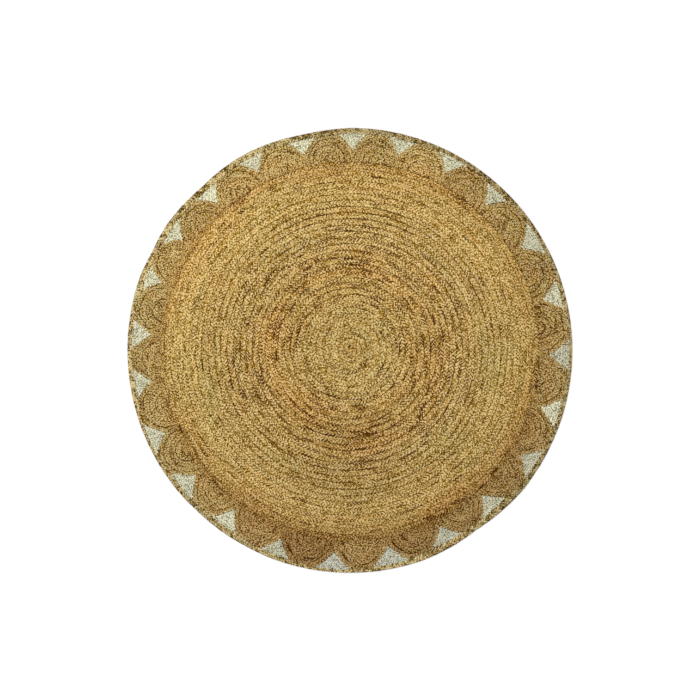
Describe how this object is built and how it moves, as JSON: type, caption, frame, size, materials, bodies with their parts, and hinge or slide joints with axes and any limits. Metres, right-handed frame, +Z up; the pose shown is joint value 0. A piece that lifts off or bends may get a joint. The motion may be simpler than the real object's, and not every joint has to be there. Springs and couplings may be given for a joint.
{
  "type": "round braided jute rug",
  "caption": "Flat round rug of coiled jute braid with half-round braided petals, pale bleached inserts between them and a braided edge.",
  "frame": {"origin": "middle of the rug at its underside", "axes": "+Z up, out of the rug's top; +X and +Y in the plane of the floor, with angles anticlockwise from +X seen from above"},
  "size_m": [1.1998, 1.2, 0.009],
  "materials": {
    "disc_jute": "matte braided jute, straw gold",
    "petal_jute": "matte braided jute, browner",
    "bleached_jute": "matte bleached jute, off-white",
    "binding_jute": "matte braided jute, mixed straw and brown"
  },
  "bodies": {
    "root": {"disc": "disc_jute", "petal_01": "petal_jute", "petal_02": "petal_jute", "petal_03": "petal_jute", "petal_04": "petal_jute", "petal_05": "petal_jute", "petal_06": "petal_jute", "petal_07": "petal_jute", "petal_08": "petal_jute", "petal_09": "petal_jute", "petal_10": "petal_jute", "petal_11": "petal_jute", "petal_12": "petal_jute", "petal_13": "petal_jute", "petal_14": "petal_jute", "petal_15": "petal_jute", "petal_16": "petal_jute", "petal_17": "petal_jute", "petal_18": "petal_jute", "petal_19": "petal_jute", "petal_20": "petal_jute", "petal_21": "petal_jute", "petal_22": "petal_jute", "petal_23": "petal_jute", "petal_24": "petal_jute", "insert_01": "bleached_jute", "insert_02": "bleached_jute", "insert_03": "bleached_jute", "insert_04": "bleached_jute", "insert_05": "bleached_jute", "insert_06": "bleached_jute", "insert_07": "bleached_jute", "insert_08": "bleached_jute", "insert_09": "bleached_jute", "insert_10": "bleached_jute", "insert_11": "bleached_jute", "insert_12": "bleached_jute", "insert_13": "bleached_jute", "insert_14": "bleached_jute", "insert_15": "bleached_jute", "insert_16": "bleached_jute", "insert_17": "bleached_jute", "insert_18": "bleached_jute", "insert_19": "bleached_jute", "insert_20": "bleached_jute", "insert_21": "bleached_jute", "insert_22": "bleached_jute", "insert_23": "bleached_jute", "insert_24": "bleached_jute", "binding": "binding_jute"}
  },
  "joints": []
}
